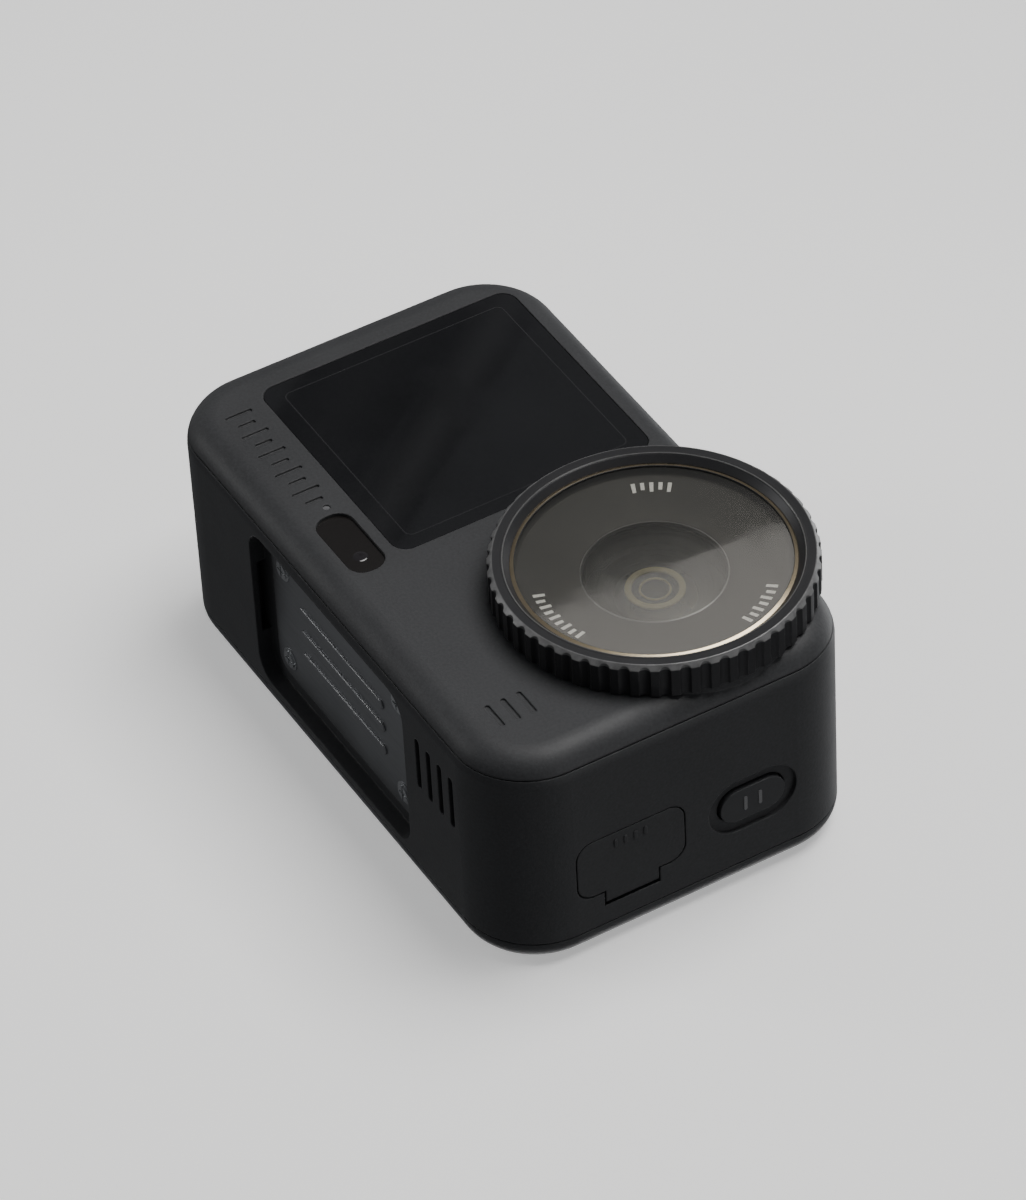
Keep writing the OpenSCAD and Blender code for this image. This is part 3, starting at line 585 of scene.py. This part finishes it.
def screw_head(bm, face, centre, r, base, height):
    """Round head with a cross recess built as four raised quarters."""
    inner_r, steps = 0.16 * math.sqrt(2), 8
    first, span = 6, 78  # degrees of one quarter's arc
    for quarter in range(0, 360, 90):
        arc = [math.radians(quarter + first + span * i / steps) for i in range(steps + 1)]
        outline = [(r * math.cos(a), r * math.sin(a)) for a in arc]
        corner = math.radians(quarter + 45)
        outline.append((inner_r * math.cos(corner), inner_r * math.sin(corner)))
        pad(bm, face, centre, outline, base, height)


def bottom_details():
    """Four screws and three ribs of the mount plate."""
    plate_low, plate_high = lo("mount_plate"), hi("mount_plate")
    level, inset = -plate_low.z, 2.6
    washer = rounded_outline(2.7, 2.7, 1.349, 8)
    bm = bmesh.new()
    for x in (plate_low.x + inset, plate_high.x - inset):
        for y in (plate_low.y + inset, plate_high.y - inset):
            pad(bm, "bottom", (x, y), washer, level - 0.02, level + 0.10)
            screw_head(bm, "bottom", (x, y), 1.0, level + 0.1, level + 0.3)
    add_piece("plate_screws", bm, "camera", "steel")
    bm = bmesh.new()
    centre = middle("mount_plate")
    rib, rib_pitch = rounded_outline(18.0, 1.2, 0.59, 6), 3.3
    for side in (-1, 0, 1):
        at = (centre.x, centre.y + side * rib_pitch)
        pad(bm, "bottom", at, rib, level - 0.02, level + 0.2, 0.06)
    add_piece("plate_ribs", bm, "camera", "plate_steel")


def grip_ribs(name, face, at, count, pitch, rib, body):
    """Row of low ribs on a door, stepping up from at."""
    bm = bmesh.new()
    for i in range(count):
        pad(bm, face, (at[0], at[1] + i * pitch), rib, -0.05, 0.10, 0.04)
    add_piece(name, bm, body, "door_plastic")


def door_details():
    """Grip ribs of the two doors, and the bright lock flag beside the latch."""
    rib_height, rib_corner = 0.45, 0.22
    door_y, door_z = lo("battery_door").y, middle("battery_door").z
    grip_ribs("battery_door_grip", "left", (door_y + 4.2, door_z - 11.8), 5, 1.05,
              rounded_outline(3.4, rib_height, rib_corner, 4), "battery_hatch")
    latch = middle("battery_door_latch")
    depth = -SIDE_X - lo("battery_door_latch").x
    bm = bmesh.new()
    pad(bm, "left", (latch.y, hi("battery_door_latch").z + 1.3), rounded_outline(3.2, 1.7, 0.3, 4),
        depth - 0.75, depth - 0.62)
    add_piece("lock_flag", bm, "battery_hatch", "orange_rubber")
    door_y, door_z = lo("connector_door").y, middle("connector_door").z
    grip_ribs("connector_door_grip", "right", (door_y + 1.5, door_z - 1.8), 4, 1.2,
              rounded_outline(1.2, rib_height, rib_corner, 4), "connector_hatch")


def connector_details():
    """Dark tongue of the socket with a row of gold contacts on each side."""
    tongue_y, tongue_z = FRONT_Y + 17.6, 15.4
    root_x, end_x = 27.7, 33.0
    half, skin, width = 0.35, 0.03, 6.96
    tongue = rounded_outline(2 * (half + skin), width, 0.3, 4)
    bm = bmesh.new()
    pad(bm, "right", (tongue_y, tongue_z), tongue, root_x - SIDE_X, end_x - SIDE_X + skin, 0.06)
    add_piece("connector_tongue", bm, "camera", "card_plastic")
    contact, pitch, first_z = rounded_outline(2.9, 0.3, 0.1, 3), 0.7, tongue_z - 2.45
    bm = bmesh.new()
    for face, level in (("front", FRONT_Y - tongue_y), ("rear", tongue_y - REAR_Y)):
        out = level + half + skin
        for i in range(8):
            pad(bm, face, (end_x - 1.8, first_z + i * pitch), contact, out - 0.02, out + 0.03)
    add_piece("connector_contacts", bm, "camera", "contact_gold", smooth=False)


def battery_details():
    """Border, finger ridges and insertion mark on the battery's end, and a rib on the memory card's."""
    battery = middle("battery")
    out = -SIDE_X - lo("battery").x
    sunk = out - 0.04
    bm = bmesh.new()
    frame_pad(bm, "left", (battery.y, battery.z), 8.4, 19.0, 1.1, 0.3, sunk, out + 0.10)
    add_piece("battery_end_border", bm, "camera", "battery_wrap")
    bm = bmesh.new()
    ridge, pitch = rounded_outline(5.0, 0.45, 0.2, 4), 1.1
    for i in range(4):
        pad(bm, "left", (battery.y, battery.z + 6.0 - i * pitch), ridge, sunk, out + 0.16, 0.05)
    add_piece("battery_end_ridges", bm, "camera", "battery_wrap")
    bm = bmesh.new()
    arrow = [(-1.9, -1.2), (1.9, -1.2), (0.0, 1.5)]
    pad(bm, "left", (battery.y, battery.z - 5.2), arrow, out - 0.02, out + 0.02)
    add_piece("battery_end_mark", bm, "camera", "orange_rubber", smooth=False)
    card = middle("memory_card")
    out = -SIDE_X - lo("memory_card").x
    bm = bmesh.new()
    pad(bm, "left", (card.y - 0.2, card.z), rounded_outline(0.3, 8.6, 0.14, 3), out - 0.02, out + 0.12)
    add_piece("memory_card_rib", bm, "camera", "print_grey")


def button_details():
    """Raised ring on the shutter button and two raised bars on the side button."""
    key, top = middle("shutter_button"), hi("shutter_button").z
    profile = [(1.25, -0.03), (1.25, 0.07), (1.32, 0.10), (1.58, 0.10), (1.65, 0.07), (1.65, -0.03)]
    bm = bmesh.new()
    lathe(bm, profile, (key.x, key.y, top), "z", 64)
    add_piece("shutter_ring", bm, "shutter_key", "print_grey")
    key, out = middle("switch_button"), hi("switch_button").x - SIDE_X
    bar = rounded_outline(1.9, 0.4, 0.19, 4)
    bm = bmesh.new()
    for side in (-1, 1):
        pad(bm, "right", (key.y, key.z + side * 0.9), bar, out - 0.03, out + 0.07)
    add_piece("switch_bars", bm, "switch_key", "print_grey")


def woven_grid(name, face, centre, w, h, level, pitch, wire):
    """Small flat grille of crossed wires behind an opening."""
    base, top = level - wire / 2, level + wire / 2
    bm = bmesh.new()
    for along, across, upright in ((w, h, False), (h, w, True)):
        count = int(across / pitch)
        size = (wire, along) if upright else (along, wire)
        for i in range(count + 1):
            offset = -count * pitch / 2 + i * pitch
            at = (centre[0] + (offset if upright else 0), centre[1] + (0 if upright else offset))
            pad(bm, face, at, rounded_outline(*size, wire * 0.3, 1), base, top)
    add_piece(name, bm, "camera", "mesh_metal", smooth=False)


def grilles():
    """Grilles inside the speaker slots and the microphone holes."""
    speaker_at, level = (22.95, FRONT_Y + 10), 0.35 - lo("speaker").z
    woven_grid("speaker_grille", "bottom", speaker_at, 8.4, 7.6, level, 0.55, 0.16)
    microphone, level = middle("microphone"), hi("microphone").z - TOP_Z + 0.5
    woven_grid("microphone_grille", "top", (microphone.x, microphone.y), 5.8, 1.3, level, 0.42, 0.12)


def rear_light():
    """Status light beside the rear screen."""
    x = (SIDE_X + hi("rear_screen_glass").x) / 2 - 0.6
    profile = [(0.02, 0.012), (0.42, 0.010), (0.5, -0.05), (0.02, -0.05)]
    bm = bmesh.new()
    lathe(bm, profile, (x, REAR_Y, middle("rear_screen_glass").z), steps=40)
    add_piece("rear_status_light", bm, "camera", "light_pipe")


# ---------- stage, lights and camera ----------

# In millimetres: the main camera's place, the direction that is down in its picture, and its aim
EYE = Vector((468.8, -487.3, -229.3))
EYE_DOWN = Vector((0.5125, 0.7885, -0.3421))
TARGET = Vector((0, 1.0, 22.8))
LENS_LENGTH = 236.0
# In millimetres: the soft lights' aim, the plane of the reflected lights, and the stage's gap to the object
LIGHT_AIM = Vector((0, 0, 22))
CARD_Y = -180.0
STAGE_GAP = 0.08
# Strengths of the light that the stage's planes add to what they reflect, and of the dome
STAGE_LIFT = 0.42
DOME_LIGHT = 1.1


def stage_material(name, colour, fade):
    """Pale one-sided surface that fades away between two distances from the origin, in metres."""
    mat, nodes, links = new_material(name)
    shader = nodes["Principled BSDF"]
    coords = add(nodes, "ShaderNodeTexCoord")
    soft = noise(nodes, links, coords, 30, 3)
    patches = remap(nodes, links, soft, 0.3, 0.7, 0, 1)
    links.new(mix_colour(nodes, links, patches, tone(colour, 0.985), colour), shader.inputs["Base Color"])
    links.new(remap(nodes, links, soft, 0.3, 0.7, 0.75, 0.85), shader.inputs["Roughness"])
    shader.inputs["Emission Color"].default_value = (1, 1, 1, 1)
    shader.inputs["Emission Strength"].default_value = STAGE_LIFT
    side = add(nodes, "ShaderNodeNewGeometry")
    distance = add(nodes, "ShaderNodeVectorMath", operation="LENGTH")
    links.new(coords.outputs["Object"], distance.inputs[0])
    gone = remap(nodes, links, distance.outputs["Value"], fade[0], fade[1], 0, 1)
    away = add(nodes, "ShaderNodeMath", operation="MAXIMUM")
    links.new(side.outputs["Backfacing"], away.inputs[0])
    links.new(gone, away.inputs[1])
    clear = add(nodes, "ShaderNodeBsdfTransparent")
    pick = add(nodes, "ShaderNodeMixShader")
    links.new(away.outputs[0], pick.inputs[0])
    links.new(shader.outputs[0], pick.inputs[1])
    links.new(clear.outputs[0], pick.inputs[2])
    links.new(pick.outputs[0], nodes["Material Output"].inputs["Surface"])
    return mat


def camera_only(obj):
    """Makes obj a stage piece that never shades or lights the object."""
    obj.visible_shadow = False
    obj.visible_diffuse = False
    obj.visible_glossy = False
    obj.visible_transmission = False


def stage_plane(name, origin, across, up, size, mat):
    """Square facing the cross product of across and up; size is half its side in metres."""
    across, up, origin = Vector(across) * size, Vector(up) * size, Vector(origin) * MM
    near, far = origin - up, origin + up
    mesh = bpy.data.meshes.new(name)
    mesh.from_pydata([near - across, near + across, far + across, far - across], [], [(0, 1, 2, 3)])
    mesh.materials.append(mat)
    camera_only(link_object(name, mesh))


def stage_dome(radius, colour, strength):
    """Evenly glowing sphere all round the object, which is seen beyond the floor."""
    bm = bmesh.new()
    bmesh.ops.create_icosphere(bm, subdivisions=5, radius=radius)
    mesh = bpy.data.meshes.new("dome")
    bm.to_mesh(mesh)
    bm.free()
    mat, nodes, links = new_material("stage_dome")
    nodes.remove(nodes["Principled BSDF"])
    glow = add(nodes, "ShaderNodeEmission", Color=(*colour, 1), Strength=strength)
    links.new(glow.outputs[0], nodes["Material Output"].inputs["Surface"])
    mesh.materials.append(mat)
    camera_only(link_object("dome", mesh))


def build_stage():
    """Floor under the object, backdrop behind it, which it lies on in the main view, and dome."""
    pale = (0.92, 0.92, 0.915)
    floor_pale = stage_material("floor_pale", pale, (0.3, 1.2))
    stage_plane("floor", (0, 0, -STAGE_GAP), (1, 0, 0), (0, 1, 0), 1.6, floor_pale)
    backdrop_pale = stage_material("backdrop_pale", pale, (0.09, 0.24))
    stage_plane("backdrop", (0, REAR_Y + STAGE_GAP, 0), (1, 0, 0), (0, 0, 1), 0.5, backdrop_pale)
    stage_dome(2.5, (1.0, 1.0, 0.995), DOME_LIGHT)


def area_light(name, size, power, colour):
    data = bpy.data.lights.new(name, "AREA")
    data.shape = "RECTANGLE"
    data.size, data.size_y = size
    data.energy = power
    data.color = colour
    return link_object(name, data)


def soft_light(name, direction, distance, size, power, colour=(1, 1, 1)):
    """Area light of the given size and distance in metres, seen from the object along direction."""
    obj = area_light(name, size, power, colour)
    d = Vector(direction).normalized()
    obj.location = LIGHT_AIM * MM + d * distance
    obj.rotation_euler = (-d).to_track_quat("-Z", "Y").to_euler()


def facing(right, up, back, at):
    """Matrix of an object at a point in millimetres whose own x, y and z axes are the given ones."""
    return Matrix.Translation(at * MM) @ Matrix((right, up, back)).transposed().to_4x4()


def mirror_spot(x, z, level=FRONT_Y):
    """Point at y = CARD_Y that a flat front at level mirrors to the main camera from (x, z)."""
    eye_depth, card_depth = level - EYE.y, level - CARD_Y
    share = card_depth / eye_depth
    return Vector((x - (EYE.x - x) * share, CARD_Y, z - (EYE.z - z) * share))


def reflection_strip(name, start, end, width, radiance):
    """Dim strip parallel to the front face that is seen only in glossy surfaces.

    start and end are the two points of the front, as (x, z), where the main camera sees the ends of its
    middle line. Its light falls away softly over width to both sides."""
    a, b = mirror_spot(*start), mirror_spot(*end)
    along = (b - a).normalized()
    across = Vector((along.z, 0, -along.x))
    corners = [a - across * width, b - across * width, b + across * width, a + across * width]
    mesh = bpy.data.meshes.new(name)
    mesh.from_pydata([c * MM for c in corners], [], [(0, 1, 2, 3)])
    mat, nodes, links = new_material(name)
    nodes.remove(nodes["Principled BSDF"])
    light = add(nodes, "ShaderNodeEmission", Color=(1, 1, 1, 1))
    coords = add(nodes, "ShaderNodeTexCoord")
    shifted = add(nodes, "ShaderNodeVectorMath", operation="SUBTRACT")
    links.new(coords.outputs["Object"], shifted.inputs[0])
    shifted.inputs[1].default_value = a * MM
    offset = add(nodes, "ShaderNodeVectorMath", operation="DOT_PRODUCT")
    links.new(shifted.outputs[0], offset.inputs[0])
    offset.inputs[1].default_value = across
    off_line = add(nodes, "ShaderNodeMath", operation="ABSOLUTE")
    links.new(offset.outputs["Value"], off_line.inputs[0])
    strength = remap(nodes, links, off_line.outputs[0], 0, width * MM, radiance, 0)
    links.new(strength, light.inputs["Strength"])
    links.new(light.outputs[0], nodes["Material Output"].inputs["Surface"])
    mesh.materials.append(mat)
    obj = link_object(name, mesh)
    obj.visible_camera = False
    obj.visible_shadow = False
    obj.visible_diffuse = False


def lens_card(power):
    """Light that the coating of the cover glass mirrors softly over its lower right half."""
    near = mirror_spot(LENS.x + 1.6, LENS.z, GLASS_Y)
    up = Vector((0.061, 0, 0.998)).normalized()
    right = Vector((up.z, 0, -up.x))
    width, height = 50.0, 90.0
    obj = area_light("lens_card", (width * MM, height * MM), power, (1.0, 0.965, 0.925))
    obj.matrix_world = facing(right, up, Vector((0, -1, 0)), near + right * width / 2)
    lit = bpy.data.collections.new("lens_card_receivers")
    lit.objects.link(frame["nodes"]["lens_cover_glass"])
    obj.light_linking.receiver_collection = lit


def build_lights():
    """Soft studio light, the reflections of the main view, and a dim world."""
    soft_light("key", (0.02, -0.93, 0.36), 0.95, (0.6, 0.6), 9.0, (1.0, 0.99, 0.98))
    soft_light("top", (-0.25, 0.25, 1.0), 1.1, (0.8, 0.8), 4.5, (0.98, 0.99, 1.0))
    soft_light("low_strip", (-0.65, -0.35, -0.68), 0.8, (0.45, 0.2), 1.0)
    soft_light("side_fill", (1.0, 0.1, 0.35), 1.2, (0.8, 0.8), 2.2)
    soft_light("back_fill", (-0.3, 0.95, 0.25), 1.2, (0.9, 0.9), 5.0)
    soft_light("rear_strip", (0.60, 0.74, -0.16), 0.8, (0.06, 0.7), 0.1)
    lens_card(0.0172)
    reflection_strip("screen_streak", (-30, 41.5), (-4, 8.0), 4.6, 0.15)
    reflection_strip("screen_patch", (-36, 33.0), (-16, 6.0), 9.0, 0.05)
    world = bpy.data.worlds.new("studio")
    bpy.context.scene.world = world
    world.use_nodes = True
    background = world.node_tree.nodes["Background"]
    background.inputs["Color"].default_value = (0.95, 0.97, 1.0, 1)
    background.inputs["Strength"].default_value = 0.12


def build_camera():
    """Camera at the photograph's viewing angle, with its sizes in metres and its lens in millimetres."""
    data = bpy.data.cameras.new("main_camera")
    data.sensor_fit = "HORIZONTAL"
    data.sensor_width = 36.0
    data.lens = LENS_LENGTH
    data.clip_start, data.clip_end = 0.02, 60
    obj = link_object("main_camera", data)
    back = (EYE - TARGET).normalized()
    right = (-EYE_DOWN).cross(back).normalized()
    obj.matrix_world = facing(right, back.cross(right), back, EYE)
    bpy.context.scene.camera = obj


# ---------- assembly ----------

dress_nodes()
plate_ticks()
lens_rings()
lens_baffles()
screen_details()
sensor_details()
bottom_details()
door_details()
connector_details()
battery_details()
button_details()
grilles()
rear_light()
build_stage()
build_lights()
build_camera()
